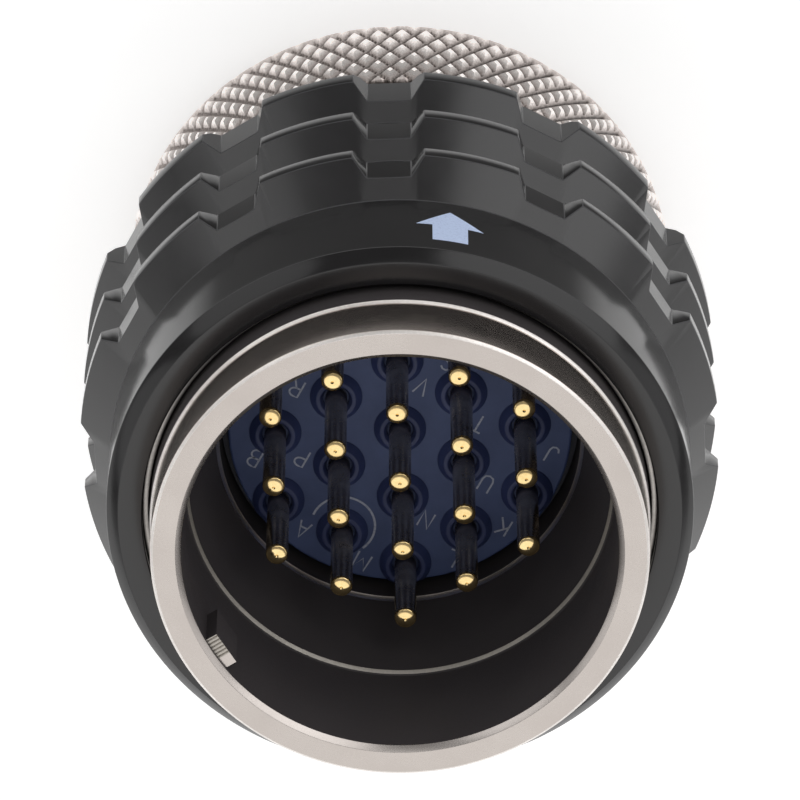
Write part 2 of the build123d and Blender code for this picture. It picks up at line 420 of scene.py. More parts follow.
@dataclass(frozen=True)
class KnurlFinish:
    """Plated knurl, darker down in its grooves as painted shade and lighter on its crests as worn metal and
    painted highlight.
    """

    name: str
    crest_worn_and_highlight: Colour
    flank: Colour
    groove_painted_shade: Colour
    groove_radius: float
    crest_radius: float
    roughness: Span
    speckle_grain: float = 0.10
    speckle_depth: float = 0.002
    cloud_grain: float = 2.6
    wander: float = 0.22
    cloud_span: Span = (0.3, 0.6)
    worn_and_highlight_span: Span = (0.7, 1.0)

    def build(self) -> Material:
        """Make the material.

        Returns:
            The finished material.
        """
        graph = Surface(self.name)
        speckle = graph.noise(self.speckle_grain)
        cloud = graph.span(graph.noise(self.cloud_grain), self.cloud_span, self.worn_and_highlight_span)
        wander = graph.times(graph.math("SUBTRACT", speckle, 0.5), self.wander * MM)
        x, y, _ = graph.parts(graph.place)
        radius = graph.math("ADD", graph.length(x, y), wander)
        low, high = self.groove_radius * MM, self.crest_radius * MM
        half = (low + high) / 2
        # Painted shade: the colour darkens towards the bottom of the grooves
        colour = graph.mix(graph.span(radius, (low, half)), self.groove_painted_shade, self.flank)
        # The crests turn lighter in clouds: worn metal, and partly a painted highlight
        worn_and_highlight = graph.times(graph.span(radius, (half, high)), cloud)
        colour = graph.mix(worn_and_highlight, colour, self.crest_worn_and_highlight)
        normal = graph.bump(speckle, self.speckle_depth)
        roughness = graph.span(radius, (low, high), self.roughness[::-1])
        return graph.finish(colour, roughness, normal, Metallic=1.0)


@dataclass(frozen=True)
class CoatFinish:
    """Dark anodised or painted surface with fine speckle and faint dust."""

    name: str
    base: Colour
    pale: Colour
    roughness: Span
    speckle_grain: float = 0.09
    speckle_depth: float = 0.0006
    turned_grain: float = 0.06
    turned_depth: float = 0.0005
    turned_drift: float = 2.0
    refraction: float = 1.45
    cloud_grain: float = 2.4
    cloud_span: Span = (0.35, 0.7)
    cloud_share: float = 0.35
    dust_grain: float = 0.22
    dust_span: Span = (0.66, 0.74)
    dust_share: float = 0.5
    speckle_share: float = 0.6
    wear_span: Span = (0.55, 1.05)

    def build(self) -> Material:
        """Make the material.

        Returns:
            The finished material.
        """
        graph = Surface(self.name)
        cloud = graph.noise(self.cloud_grain, 4.0)
        speckle = graph.noise(self.speckle_grain, 2.0)
        lines = graph.noise(self.turned_grain, vector=graph.turned_place(self.turned_drift))
        dust = graph.noise(self.dust_grain, 4.0, roughness=0.7)
        clouded = graph.span(cloud, self.cloud_span, (0.0, self.cloud_share))
        dusty = graph.span(dust, self.dust_span, (0.0, self.dust_share))
        colour = graph.mix(dusty, graph.mix(clouded, self.base, self.pale), self.pale)
        wear = graph.math("ADD", cloud, graph.times(speckle, self.speckle_share))
        roughness = graph.span(wear, self.wear_span, self.roughness)
        normal = graph.bump(speckle, self.speckle_depth)
        normal = graph.bump(lines, self.turned_depth, below=normal)
        return graph.finish(colour, roughness, normal, IOR=self.refraction)


@dataclass(frozen=True)
class SoftFinish:
    """Rubber or silicone with a dull skin and lint."""

    name: str
    base: Colour
    pale: Colour
    roughness: Span
    skin_grain: float = 0.08
    skin_depth: float = 0.004
    cloud_grain: float = 1.6
    tone_span: Span = (0.3, 0.7)
    sheen: float = 0.0

    def build(self) -> Material:
        """Make the material.

        Returns:
            The finished material.
        """
        graph = Surface(self.name)
        cloud = graph.noise(self.cloud_grain, 4.0)
        skin = graph.noise(self.skin_grain)
        colour = graph.mix(graph.span(cloud, self.tone_span), self.base, self.pale)
        roughness = graph.span(skin, self.tone_span, self.roughness)
        normal = graph.bump(skin, self.skin_depth)
        return graph.finish(colour, roughness, normal, Sheen_Weight=self.sheen)


@dataclass(frozen=True)
class PrintFinish:
    """Thin pale print that has worn through in places."""

    name: str
    ink: Colour
    faded: Colour
    wear_grain: float = 0.1
    wear_depth: float = 0.004
    faded_span: Span = (0.5, 0.72)
    wear_span: Span = (0.3, 0.7)
    roughness: Span = (0.5, 0.8)

    def build(self) -> Material:
        """Make the material.

        Returns:
            The finished material.
        """
        graph = Surface(self.name)
        wear = graph.noise(self.wear_grain, 4.0, roughness=0.7)
        colour = graph.mix(graph.span(wear, self.faded_span), self.ink, self.faded)
        normal = graph.bump(wear, self.wear_depth)
        return graph.finish(colour, graph.span(wear, self.wear_span, self.roughness), normal)


@dataclass(frozen=True)
class Palette:
    """Every finish of the connector."""

    nickel: MetalFinish = MetalFinish(
        "satin_nickel", (0.52, 0.478, 0.450), (0.475, 0.432, 0.405), (0.24, 0.32),
        turned_grain=0.09, turned_depth=0.0009, pit_grain=0.07, pit_depth=0.0012,
    )
    barrel: MetalFinish = MetalFinish(
        "turned_barrel", (0.565, 0.505, 0.465), (0.43, 0.375, 0.34), (0.15, 0.22),
        turned_grain=0.3, turned_depth=0.0005, pit_grain=0.5, pit_depth=0.0002,
    )
    # Pale edge nickel on the lip chamfer, the guide step and the cavity chamfer: wear, and partly painted
    # highlight lines
    rim_edge_wear_and_highlight: MetalFinish = MetalFinish(
        "worn_nickel_edge_and_painted_highlight", (0.86, 0.82, 0.79), (0.70, 0.66, 0.63), (0.36, 0.46), pit_depth=0.001,
    )
    shoulder: MetalFinish = MetalFinish(
        "dull_shoulder", (0.48, 0.45, 0.41), (0.38, 0.355, 0.32), (0.44, 0.54), pit_depth=0.001,
    )
    # Knurl colours: the first, for the crests, is worn metal and painted highlight; the last, for the
    # grooves, is painted shade
    knurl: KnurlFinish = KnurlFinish(
        "knurled_nickel", (0.97, 0.92, 0.89), (0.50, 0.445, 0.42), (0.055, 0.045, 0.04),
        NUT_CREST_RADIUS - 0.33, NUT_CREST_RADIUS - 0.03, (0.20, 0.40),
    )
    sleeve: MetalFinish = MetalFinish(
        "turned_steel", (0.50, 0.475, 0.45), (0.36, 0.34, 0.32), (0.28, 0.42),
        turned_grain=0.05, turned_depth=0.002,
    )
    spring: MetalFinish = MetalFinish("spring_wire", (0.55, 0.55, 0.56), (0.35, 0.35, 0.36), (0.3, 0.45))
    gold: MetalFinish = MetalFinish(
        "gold_contact", (0.92, 0.70, 0.36), (0.80, 0.59, 0.27), (0.10, 0.16),
        pit_depth=0.0004, stain_grain=1.2,
    )
    gold_shank: MetalFinish = MetalFinish(
        "gold_shank", (0.80, 0.66, 0.46), (0.40, 0.33, 0.24), (0.20, 0.30),
        pit_depth=0.001, stain_grain=0.8,
    )
    # One anodise in three copies: the cone copy is painted lighter, the plain wall copy darkest and the nose
    # copy between, as painted light and shade
    black: CoatFinish = CoatFinish(
        "black_anodise", (0.0060, 0.0055, 0.0060), (0.012, 0.0113, 0.0122), (0.10, 0.17), refraction=1.26,
    )
    black_nose: CoatFinish = CoatFinish(
        "black_nose", (0.0070, 0.0064, 0.0070), (0.013, 0.0122, 0.0132), (0.12, 0.20), refraction=1.45,
    )
    black_cone_painted_lighter: CoatFinish = CoatFinish(
        "turned_black_anodise_painted_lighter", (0.0090, 0.0084, 0.0092), (0.016, 0.015, 0.0166), (0.18, 0.26),
        refraction=1.58, turned_grain=0.09, turned_depth=0.0006,
    )
    # Lighter edge coat: wear, and partly a painted highlight along the rounded edges
    black_edge_wear_and_highlight: CoatFinish = CoatFinish(
        "worn_black_edge_and_painted_highlight", (0.024, 0.024, 0.026), (0.060, 0.060, 0.066), (0.28, 0.40), refraction=1.4,
    )
    # The shell's bore gets a dark non-metal coat, much darker than the nickel
    bore: CoatFinish = CoatFinish(
        "dark_bore", (0.056, 0.050, 0.052), (0.073, 0.066, 0.068), (0.42, 0.56),
        turned_depth=0.002, refraction=1.3,
    )
    seal: SoftFinish = SoftFinish("blue_silicone", (0.045, 0.068, 0.165), (0.060, 0.088, 0.205), (0.52, 0.68))
    boss: SoftFinish = SoftFinish("blue_boss", (0.026, 0.038, 0.115), (0.036, 0.052, 0.15), (0.46, 0.6))
    insulator: SoftFinish = SoftFinish(
        "dark_insulator", (0.02, 0.022, 0.035), (0.03, 0.033, 0.05), (0.45, 0.6),
    )
    rubber: SoftFinish = SoftFinish(
        "black_rubber", (0.016, 0.016, 0.016), (0.03, 0.03, 0.03), (0.6, 0.8), sheen=0.1,
    )
    letter_ink: PrintFinish = PrintFinish("letter_ink", (0.40, 0.43, 0.52), (0.17, 0.20, 0.29))
    arrow_ink: PrintFinish = PrintFinish("arrow_ink", (0.50, 0.60, 0.82), (0.38, 0.46, 0.66))


@dataclass(frozen=True)
class Corner:
    """One corner of a turned outline and the finish of the stretch that leaves it."""

    radius: float
    height: float
    round: float = 0.0
    finish: int = 0


def rounded_outline(corners: Sequence[Corner], steps: int = 3, side_share: float = 0.48) -> list[Corner]:
    """Replace each rounded corner of a closed outline by points on an arc.

    Args:
        corners: Corners in order.
        steps: Straight steps in each arc.
        side_share: Largest share of a side that one arc may take.

    Returns:
        Corners of the finished outline.
    """
    outline: list[Corner] = []
    for index, corner in enumerate(corners):
        here = Vector((corner.radius, corner.height))
        before, after = corners[index - 1], corners[(index + 1) % len(corners)]
        back = Vector((before.radius, before.height)) - here
        ahead = Vector((after.radius, after.height)) - here
        if corner.round <= 0:
            outline.append(corner)
            continue
        half = back.angle(ahead) / 2
        cut = min(corner.round / math.tan(half), side_share * back.length, side_share * ahead.length)
        radius = cut * math.tan(half)
        centre = here + (back.normalized() + ahead.normalized()).normalized() * (radius / math.sin(half))
        first = (here + back.normalized() * cut - centre).normalized()
        last = (here + ahead.normalized() * cut - centre).normalized()
        for step in range(steps + 1):
            spot = centre + radius * first.slerp(last, step / steps)
            outline.append(Corner(spot.x, spot.y, 0.0, corner.finish))
    return outline


def as_object(name: str, mesh_data: BMesh, materials: Iterable[Material]) -> Piece:
    """Turn mesh data in millimetres into an object in metres at the origin.

    Args:
        name: Name of the object.
        mesh_data: Geometry, which is freed.
        materials: Materials of its slots.

    Returns:
        The new object.
    """
    bmesh.ops.recalc_face_normals(mesh_data, faces=mesh_data.faces)
    mesh_data.transform(Matrix.Scale(MM, 4))
    mesh = bpy.data.meshes.new(name)
    mesh_data.to_mesh(mesh)
    mesh_data.free()
    for material in materials:
        mesh.materials.append(material)
    made = bpy.data.objects.new(name, mesh)
    bpy.context.collection.objects.link(made)
    return made


def pour(mesh_data: BMesh, part: BMesh) -> None:
    """Add the geometry of one mesh to another.

    Args:
        mesh_data: Mesh that receives the geometry.
        part: Mesh that is used up.
    """
    holder = bpy.data.meshes.new("part")
    part.to_mesh(holder)
    part.free()
    mesh_data.from_mesh(holder)
    bpy.data.meshes.remove(holder)


def polar(radius: float, angle: float, height: float) -> Vector:
    """Give the point at a radius, an angle in radians and a height."""
    return Vector((radius * math.cos(angle), radius * math.sin(angle), height))


def raise_faces(mesh_data: BMesh, faces: Iterable[bmesh.types.BMFace], step: Sequence[float]) -> None:
    """Draw faces out into a solid.

    Args:
        mesh_data: Mesh that holds them.
        faces: Faces to draw out.
        step: Way that the copy moves.
    """
    raised = bmesh.ops.extrude_face_region(mesh_data, geom=list(faces))["geom"]
    verts = [item for item in raised if isinstance(item, bmesh.types.BMVert)]
    bmesh.ops.translate(mesh_data, verts=verts, vec=step)


def turned(corners: Sequence[Corner], segments: int, seam: float = 0.0005) -> BMesh:
    """Turn a closed outline about the axis.

    Args:
        corners: Outline in order.
        segments: Facets round the axis.
        seam: Distance within which corners are merged.

    Returns:
        Mesh of the turned solid.
    """
    mesh_data = bmesh.new()
    for index, corner in enumerate(corners):
        after = corners[(index + 1) % len(corners)]
        band = bmesh.new()
        ends = [band.verts.new((spot.radius, 0, spot.height)) for spot in (corner, after)]
        edge = band.edges.new(ends)
        bmesh.ops.spin(
            band, geom=[*ends, edge], cent=(0, 0, 0), axis=(0, 0, 1), dvec=(0, 0, 0),
            angle=FULL_TURN, steps=segments, use_merge=True, use_duplicate=False,
        )
        for face in band.faces:
            face.material_index = corner.finish
        pour(mesh_data, band)
    bmesh.ops.remove_doubles(mesh_data, verts=mesh_data.verts, dist=seam)
    return mesh_data


def smooth(piece: Piece, angle_deg: float = 34.0) -> None:
    """Shade a piece smoothly, with sharp edges beyond an angle and flats held flat.

    Args:
        piece: Object to shade.
        angle_deg: Angle beyond which an edge stays sharp.
    """
    piece.data.shade_smooth()
    piece.data.set_sharp_from_angle(angle=math.radians(angle_deg))
    weights = piece.modifiers.new("flat_weights", "WEIGHTED_NORMAL")
    weights.keep_sharp = True
    bake(piece)


def bake(piece: Piece) -> None:
    """Apply every modifier of a piece to its mesh.

    Args:
        piece: Object to bake.
    """
    bpy.context.view_layer.update()
    graph = bpy.context.evaluated_depsgraph_get()
    baked = bpy.data.meshes.new_from_object(
        piece.evaluated_get(graph), preserve_all_data_layers=True, depsgraph=graph,
    )
    piece.modifiers.clear()
    old = piece.data
    piece.data = baked
    bpy.data.meshes.remove(old)
    baked.name = piece.name


def carve(piece: Piece, cutter: Piece, operation: str = "DIFFERENCE") -> None:
    """Cut or join another object with a piece, and remove the other.

    Args:
        piece: Object that stays.
        cutter: Object that is used up.
        operation: Name of the boolean operation.
    """
    cut = piece.modifiers.new("cut", "BOOLEAN")
    cut.operation = operation
    cut.solver = "EXACT"
    cut.object = cutter
    bake(piece)
    bpy.data.objects.remove(cutter)


def break_edges(piece: Piece, width: float, finish: int = -1) -> None:
    """Round every edge of a piece that is sharper than 30 degrees.

    Args:
        piece: Object to work on.
        width: Width of the rounding in millimetres.
        finish: Material slot of the rounding, or -1 for that of its neighbours.
    """
    edges = piece.modifiers.new("edges", "BEVEL")
    edges.width = width * MM
    edges.segments = 2
    edges.limit_method = "ANGLE"
    edges.angle_limit = math.radians(30)
    edges.material = finish
    edges.use_clamp_overlap = True
    bake(piece)


def hold(piece: Piece, body: Body, slot: Slot, *nodes: str) -> None:
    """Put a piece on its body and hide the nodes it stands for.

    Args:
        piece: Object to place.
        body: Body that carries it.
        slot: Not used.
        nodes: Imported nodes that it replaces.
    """
    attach(piece, body.value)
    if nodes:
        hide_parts(*nodes)
    logger.info("%s: %d faces", piece.name, len(piece.data.polygons))


class ShellFinish(IntEnum):
    """Material slots of the front shell."""

    NICKEL = 0
    # Pale edges: wear, and partly painted highlight lines
    EDGE = 1
    BORE = 2
    WALL = 3
    SHOULDER = 4


@dataclass
class FrontShell:
    """Turned shell whose barrel and keyed bore show in front."""

    palette: Palette
    segments: int = 288
    mouth_chamfer: float = 0.25
    lip_chamfer: float = 0.12
    guide_step: float = 0.03
    guide_break: float = 0.08
    mouth_depth: float = 6.75
    shoulder_depth: float = 6.95
    shoulder_step: float = 0.2
    shoulder_line: float = 0.13
    cavity_depth: float = 11.55
    cavity_chamfer: float = 0.16
    key_width: float = 1.65
    key_height: float = 0.58
    key_setback: float = 0.4
    key_length: float = 2.4
    key_angle_deg: float = 30.0
    key_teeth: int = 9
    key_tooth_depth: float = 0.05
    key_tooth_share: float = 0.4
    key_tooth_steps: int = 4
    key_plain_share: float = 0.34
    key_skin: float = 0.1
    touch: float = 1e-4

    def outline(self) -> list[Corner]:
        """Give the outline of the shell.

        Returns:
            Corners from the mouth outwards and round.
        """
        _, edge, bore, wall, shoulder = ShellFinish
        cavity = RIM - self.cavity_depth
        foot, shoulder_height = BORE_RADIUS - self.shoulder_step, RIM - self.shoulder_depth
        return rounded_outline([
            Corner(BORE_RADIUS + self.mouth_chamfer, RIM, 0.05),
            Corner(RIM_RADIUS - self.lip_chamfer, RIM, 0.04, edge),
            Corner(RIM_RADIUS, RIM - self.lip_chamfer, 0.04, wall),
            Corner(RIM_RADIUS, GUIDE_EDGE + 0.05, 0.01, edge),
            Corner(GUIDE_RADIUS - self.guide_step, GUIDE_EDGE, 0.04, edge),
            Corner(GUIDE_RADIUS, GUIDE_EDGE - self.guide_break, 0.04, bore),
            Corner(GUIDE_RADIUS, SLEEVE_REAR, 0.05),
            Corner(WAIST_RADIUS, SLEEVE_REAR),
            Corner(WAIST_RADIUS, SNAP_RING_FRONT),
            Corner(GROOVE_RADIUS, SNAP_RING_FRONT),
            Corner(GROOVE_RADIUS, SNAP_RING_REAR),
            Corner(WAIST_RADIUS, SNAP_RING_REAR),
            Corner(WAIST_RADIUS, THREAD_TOP, 0.05),
            Corner(THREAD_RADIUS, THREAD_TOP),
            Corner(THREAD_RADIUS, SHELL_REAR, 0.08),
            Corner(GLAND_BORE_RADIUS, SHELL_REAR, 0.08),
            Corner(GLAND_BORE_RADIUS, GLAND_SEAT),
            Corner(RETAINER_BORE_RADIUS, GLAND_SEAT),
            Corner(RETAINER_BORE_RADIUS, FLANGE_FRONT, 0.0, bore),
            Corner(CAVITY_RADIUS, FLANGE_FRONT, 0.0, bore),
            Corner(CAVITY_RADIUS, cavity - self.cavity_chamfer, 0.0, edge),
            Corner(CAVITY_RADIUS + self.cavity_chamfer, cavity, 0.0, bore),
            Corner(foot, shoulder_height, 0.03, shoulder),
            Corner(foot + self.shoulder_line, shoulder_height + self.shoulder_line, 0.0, bore),
            Corner(BORE_RADIUS, RIM - self.mouth_depth, 0.03, bore),
            Corner(BORE_RADIUS, RIM - self.mouth_chamfer, 0.04),
        ])

    def key(self, materials: Sequence[Material]) -> Piece:
        """Make the key with the tool marks across its front end.

        Args:
            materials: Materials of the shell's slots.

        Returns:
            The key as an object, square to the axis.
        """
        mesh_data = bmesh.new()
        inner, outer = BORE_RADIUS - self.key_height, BORE_RADIUS + self.key_height
        top = RIM - self.key_setback
        bmesh.ops.create_cube(mesh_data, size=1.0, matrix=Matrix.Translation((
            (inner + outer) / 2, 0, top - self.key_length / 2,
        )) @ Matrix.Diagonal((outer - inner, self.key_width, self.key_length, 1)))
        across = []
        for edge in mesh_data.edges:
            first, second = (vert.co for vert in edge.verts)
            if min(first.z, second.z) > top - self.touch and abs(first.y - second.y) > self.touch:
                across.append(edge)
        cuts = self.key_tooth_steps * self.key_teeth - 1
        bmesh.ops.subdivide_edges(mesh_data, edges=across, cuts=cuts, use_grid_fill=True)
        pitch = self.key_width / self.key_teeth
        marked = self.key_width * (0.5 - self.key_plain_share)
        for vert in mesh_data.verts:
            phase = ((vert.co.y + self.key_width / 2) / pitch) % 1.0
            in_groove = abs(phase - 0.5) < self.key_tooth_share / 2
            if vert.co.z > top - self.touch and vert.co.y < marked and in_groove:
                vert.co.z -= self.key_tooth_depth
        for face in mesh_data.faces:
            middle = face.calc_center_median()
            front_finish = ShellFinish.SHOULDER if middle.y < marked else ShellFinish.NICKEL
            face.material_index = front_finish if middle.z > top - self.key_skin else ShellFinish.BORE
        mesh_data.transform(Matrix.Rotation(math.radians(self.key_angle_deg), 4, "Z"))
        return as_object("key_blank", mesh_data, materials)

    def build(self) -> None:
        """Make the shell and put it in place."""
        mesh_data = turned(self.outline(), self.segments)
        palette = self.palette
        finishes = (palette.nickel, palette.rim_edge_wear_and_highlight, palette.bore, palette.barrel, palette.shoulder)
        materials = [finish.build() for finish in finishes]
        shell = as_object("barrel_shell", mesh_data, materials)
        carve(shell, self.key(materials), "UNION")
        smooth(shell)
        hold(shell, Body.SHELL, Slot.NICKEL, "front_shell")


class RingFinish(IntEnum):
    """Material slots of the coupling ring."""

    WALL = 0
    # Rounded edges: wear, and partly a painted highlight
    EDGE = 1
    CONE = 2
    NOSE = 3


@dataclass
class CouplingRing:
    """Black sliding ring with three slotted lands."""

    palette: Palette
    segments: int = 288
    edge_width: float = 0.035
    front_dish: float = 0.06
    slot_reach: float = 2.0
    slot_overrun: float = 1.0

    def outline(self) -> list[Corner]:
        """Give the outline of the ring.

        Returns:
            Corners from the heel up and back through the bore.
        """
        corners = [Corner(LAND_RADIUS - HEEL_CHAMFER, RING_HEEL)]
        for land in range(LAND_COUNT):
            rear = RING_HEEL + HEEL_CHAMFER + land * LAND_PITCH
            if land:
                corners.append(Corner(NOSE_RADIUS, rear))
            corners.append(Corner(LAND_RADIUS, rear))
            corners.append(Corner(LAND_RADIUS, rear + LAND_WIDTH, 0.0, RingFinish.CONE))
            corners.append(Corner(NOSE_RADIUS, rear + LAND_WIDTH + LAND_CONE_LENGTH))
        return rounded_outline(corners + [
            Corner(NOSE_RADIUS, RING_FRONT - NOSE_CHAMFER, 0.1, RingFinish.NOSE),
            Corner(NOSE_RADIUS - NOSE_CHAMFER, RING_FRONT, 0.08, RingFinish.CONE),
            Corner(RING_BORE_RADIUS, RING_FRONT - self.front_dish, 0.05),
            Corner(RING_BORE_RADIUS, SLEEVE_REAR),
            Corner(SLEEVE_BORE_RADIUS, SLEEVE_REAR),
            Corner(SLEEVE_BORE_RADIUS, LEDGE_REAR),
            Corner(SPRING_BAY_RADIUS, LEDGE_REAR),
            Corner(SPRING_BAY_RADIUS, COLLAR_TOP),
            Corner(COLLAR_SEAT_RADIUS, COLLAR_TOP),
            Corner(COLLAR_SEAT_RADIUS, RING_HEEL),
        ])

    def slots(self) -> Piece:
        """Make one cutter for all the grip slots.

        Returns:
            The cutter as an object.
        """
        mesh_data = bmesh.new()
        floor = LAND_RADIUS - SLOT_DEPTH
        mouth = floor + self.slot_reach
        half_floor = SLOT_FLOOR_WIDTH / 2
        section = (
            (-half_floor, -floor), (half_floor, -floor),
            (half_floor + self.slot_reach, -mouth), (-half_floor - self.slot_reach, -mouth),
        )
        for slot in range(SLOT_COUNT):
            turn = Matrix.Rotation(FULL_TURN * slot / SLOT_COUNT, 4, "Z")
            foot = RING_HEEL - self.slot_overrun
            low = [mesh_data.verts.new(turn @ Vector((x, y, foot))) for x, y in section]
            raise_faces(mesh_data, [mesh_data.faces.new(low)], (0, 0, RING_FRONT - RING_HEEL))
        return as_object("slot_cutter", mesh_data, [])

    def build(self) -> None:
        """Make the ring and put it in place."""
        mesh_data = turned(self.outline(), self.segments)
        palette = self.palette
        # The wall coat is painted darker and the cone coat lighter, as painted shade and light
        finishes = (palette.black, palette.black_edge_wear_and_highlight, palette.black_cone_painted_lighter, palette.black_nose)
        ring = as_object("grip_ring", mesh_data, [finish.build() for finish in finishes])
        carve(ring, self.slots())
        # The rounded edges take the lighter edge coat: wear, and partly a painted highlight
        break_edges(ring, self.edge_width, RingFinish.EDGE)
        smooth(ring, angle_deg=40.0)
        hold(ring, Body.COUPLING, Slot.BLACK, "coupling_ring")


@dataclass
class ReleaseArrow:
    """Printed arrow bent round the plain section of the ring."""

    palette: Palette
    tip_height: float = 22.86
    wing_height: float = 24.3
    shaft_foot: float = 25.83
    side_deg: float = 270.0
    centre_arc: float = -2.72
    wing_half_width: float = 1.52
    shaft_half_width: float = 0.80
    lift: float = 0.012
    cell: float = 0.16

    def build(self) -> None:
        """Make the arrow and put it in place."""
        mesh_data = bmesh.new()
        points = (
            (0.0, self.tip_height), (self.wing_half_width, self.wing_height),
            (self.shaft_half_width, self.wing_height), (self.shaft_half_width, self.shaft_foot),
            (-self.shaft_half_width, self.shaft_foot), (-self.shaft_half_width, self.wing_height),
            (-self.wing_half_width, self.wing_height),
        )
        verts = [mesh_data.verts.new((self.centre_arc + x, 0, z)) for x, z in points]
        mesh_data.faces.new(verts)
        reach = self.wing_half_width
        cuts = int(2 * reach / self.cell)
        for index in range(cuts):
            place = self.centre_arc - reach + (index + 0.5) * self.cell
            geometry = [*mesh_data.verts, *mesh_data.edges, *mesh_data.faces]
            bmesh.ops.bisect_plane(
                mesh_data, geom=geometry, plane_co=(place, 0, 0), plane_no=(1, 0, 0),
            )
        raise_faces(mesh_data, mesh_data.faces, (0, 2 * self.lift, 0))
        for vert in mesh_data.verts:
            angle = math.radians(self.side_deg) + vert.co.x / NOSE_RADIUS
            vert.co = polar(NOSE_RADIUS - self.lift + vert.co.y, angle, vert.co.z)
        arrow = as_object("release_arrow", mesh_data, [self.palette.arrow_ink.build()])
        hold(arrow, Body.COUPLING, Slot.BLACK)


@dataclass
class GuideSleeve:
    """Thin bright sleeve in the bore of the coupling ring."""

    palette: Palette
    segments: int = 224
    rear_round: float = 0.04
    front_round: float = 0.05

    def build(self) -> None:
        """Make the sleeve and put it in place."""
        mesh_data = turned(rounded_outline([
            Corner(SLEEVE_BORE_RADIUS, SLEEVE_REAR, self.rear_round),
            Corner(RING_BORE_RADIUS, SLEEVE_REAR, self.rear_round),
            Corner(RING_BORE_RADIUS, SLEEVE_FRONT, self.front_round),
            Corner(SLEEVE_BORE_RADIUS, SLEEVE_FRONT, self.front_round),
        ]), self.segments)
        sleeve = as_object("bright_sleeve", mesh_data, [self.palette.sleeve.build()])
        smooth(sleeve)
        hold(sleeve, Body.COUPLING, Slot.STEEL, "guide_sleeve")


@dataclass
class CoilSpring:
    """Flat-wire spring wound between the spring seat and the ring's ledge."""

    palette: Palette
    turns: int = 5
    steps: int = 72
    wire_width: float = 0.8
    wire_height: float = 0.45
    shell_gap: float = 0.45
    end_gap: float = 0.01
    edge_width: float = 0.05
    travel: float = 2.4

    def build(self) -> None:
        """Wind the spring and put it in place."""
        inner = WAIST_RADIUS + self.shell_gap
        outer = inner + self.wire_width
        low = SPRING_SEAT_FRONT + self.end_gap
        high = low + self.wire_height
        rise = LEDGE_REAR - self.end_gap - high
        mesh_data = bmesh.new()
        wire = [
            mesh_data.verts.new((radius, 0, height))
            for radius, height in ((inner, low), (outer, low), (outer, high), (inner, high))
        ]
        sides = [mesh_data.edges.new((corner, wire[index - 1])) for index, corner in enumerate(wire)]
        steps = self.turns * self.steps
        bmesh.ops.spin(
            mesh_data, geom=[*wire, *sides], cent=(0, 0, 0), axis=(0, 0, 1),
            dvec=(0, 0, rise / steps), angle=self.turns * FULL_TURN, steps=steps,
            use_merge=False, use_duplicate=False,
        )
        bmesh.ops.holes_fill(mesh_data, edges=mesh_data.edges, sides=len(wire))
        spring = as_object("wound_spring", mesh_data, [self.palette.spring.build()])
        break_edges(spring, self.edge_width)
        smooth(spring)
        hold(spring, Body.SHELL, Slot.SPRING, "coupling_spring")
        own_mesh(spring)


def hexagon_walk(steps_out: int) -> list[Point]:
    """List the lattice places round a hexagon.

    Args:
        steps_out: Steps from the centre.

    Returns:
        Columns and rows from the centre.
    """
    column, row = 0.0, float(steps_out)
    places = []
    for column_step, row_step in ((1, -0.5), (0, -1), (-1, -0.5), (-1, 0.5), (0, 1), (1, 0.5)):
        for _ in range(steps_out):
            places.append((column, row))
            column += column_step
            row += row_step
    return places


def contact_places() -> dict[str, Point]:
    """Map each contact letter to its place.

    Returns:
        Letter to (x, y) in millimetres.
    """
    letters = OUTER_LETTERS + INNER_LETTERS + CENTRE_LETTER
    lattice = hexagon_walk(2) + hexagon_walk(1) + [(0.0, 0.0)]
    return {
        letter: (column * COLUMN_PITCH, row * ROW_PITCH)
        for letter, (column, row) in zip(letters, lattice)
    }


class SealFinish(IntEnum):
    """Material slots of the face seal."""

    FACE = 0
    BOSS = 1


@dataclass
class FaceSeal:
    """Soft blue face disc with a lipped boss round each contact."""

    palette: Palette
    segments: int = 256
    boss_segments: int = 64
    boss_base_radius: float = 1.2
    boss_top_radius: float = 0.87
    boss_height: float = 0.45
    boss_root: float = 0.3
    boss_foot: float = 0.06
    boss_slope: float = 0.05
    lip_width: float = 0.14
    well_radius: float = 0.60
    well_drop: float = 0.22
    face_round: float = 0.15
    hub_radius: float = 0.05

    def boss_outline(self) -> list[Corner]:
        """Give the outline of one boss.

        Returns:
            Corners from its foot to the well round the contact.
        """
        boss = SealFinish.BOSS
        top = SEAL_FACE + self.boss_height
        return rounded_outline([
            Corner(self.well_radius, SEAL_FACE - self.boss_root, 0.0, boss),
            Corner(self.boss_base_radius, SEAL_FACE - self.boss_root, 0.0, boss),
            Corner(self.boss_base_radius, SEAL_FACE + self.boss_foot, 0.05, boss),
            Corner(self.boss_top_radius + self.boss_slope, top, 0.07, boss),
            Corner(self.boss_top_radius - self.lip_width, top, 0.06, boss),
            Corner(self.well_radius, top - self.well_drop, 0.05, boss),
        ])

    def build(self) -> None:
        """Make the seal and put it in place."""
        mesh_data = turned(rounded_outline([
            Corner(self.hub_radius, INSULATOR_FRONT),
            Corner(SEAL_RADIUS, INSULATOR_FRONT),
            Corner(SEAL_RADIUS, SEAL_FACE, self.face_round),
            Corner(self.hub_radius, SEAL_FACE),
        ], steps=5), self.segments)
        for x, y in contact_places().values():
            boss = turned(self.boss_outline(), self.boss_segments)
            bmesh.ops.translate(boss, verts=boss.verts, vec=(x, y, 0))
            for vert in boss.verts:
                reach = math.hypot(vert.co.x, vert.co.y)
                if reach > SEAL_RADIUS:
                    vert.co.x *= SEAL_RADIUS / reach
                    vert.co.y *= SEAL_RADIUS / reach
            pour(mesh_data, boss)
        materials = [self.palette.seal.build(), self.palette.boss.build()]
        seal = as_object("contact_seal", mesh_data, materials)
        smooth(seal, angle_deg=50.0)
        hold(seal, Body.SHELL, Slot.SEAL, "face_seal")


class PinFinish(IntEnum):
    """Material slots of a contact."""

    TIP = 0
    SHANK = 1


